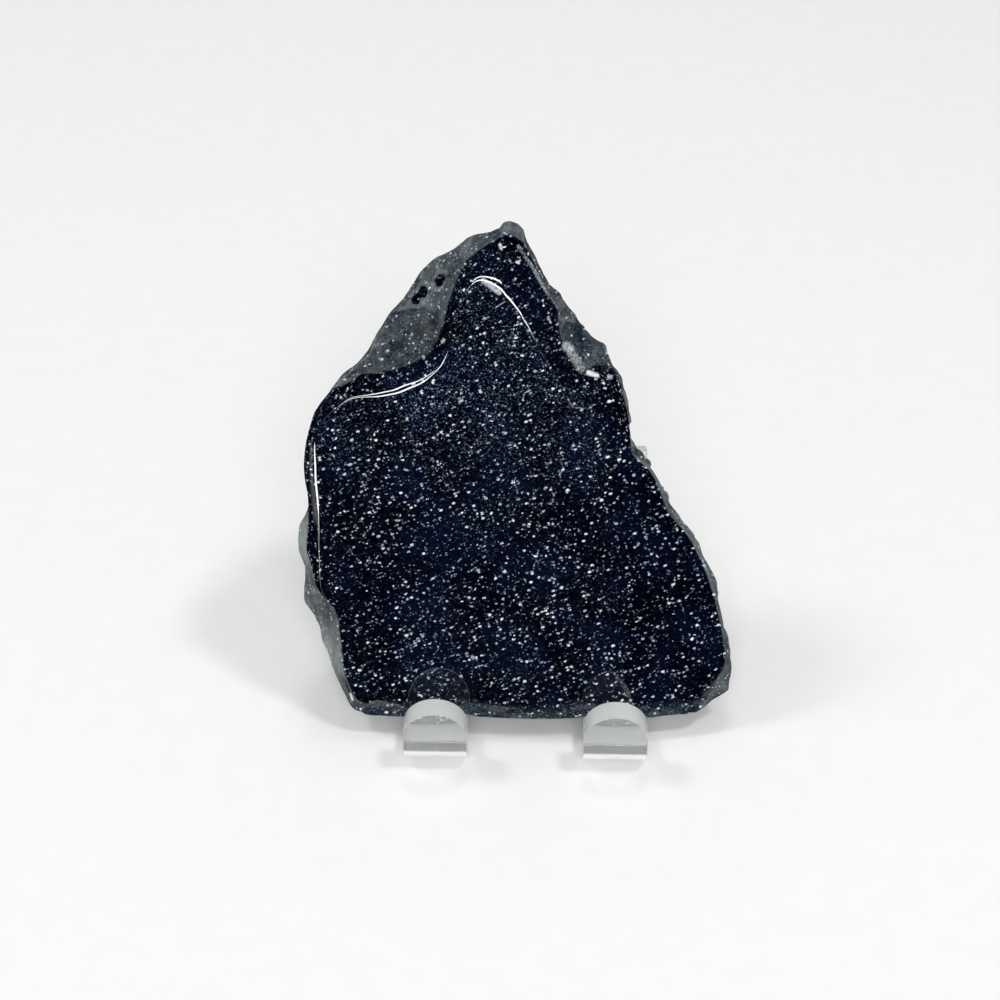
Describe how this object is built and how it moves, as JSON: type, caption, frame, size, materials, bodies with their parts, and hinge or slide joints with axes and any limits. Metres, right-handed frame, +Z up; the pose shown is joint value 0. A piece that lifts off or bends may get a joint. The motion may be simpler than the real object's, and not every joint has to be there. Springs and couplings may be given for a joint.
{
  "type": "specular hematite slab on a clear acrylic easel",
  "caption": "Glittering blue-black hematite slab, polished in front and fractured round its edges, leaning on a small clear bent-acrylic display easel.",
  "frame": {"origin": "on the table, under the middle of the whole object's box", "axes": "+X to the right of the polished face, +Y to the back, +Z up"},
  "size_m": [0.059, 0.0428, 0.0621],
  "materials": {
    "hematite": "polished in front, broken and semi-matt at the edges, full of small silvery flakes",
    "acrylic": "clear and polished"
  },
  "bodies": {
    "root": {"hematite_slab": "hematite", "acrylic_easel": "acrylic"}
  },
  "joints": []
}
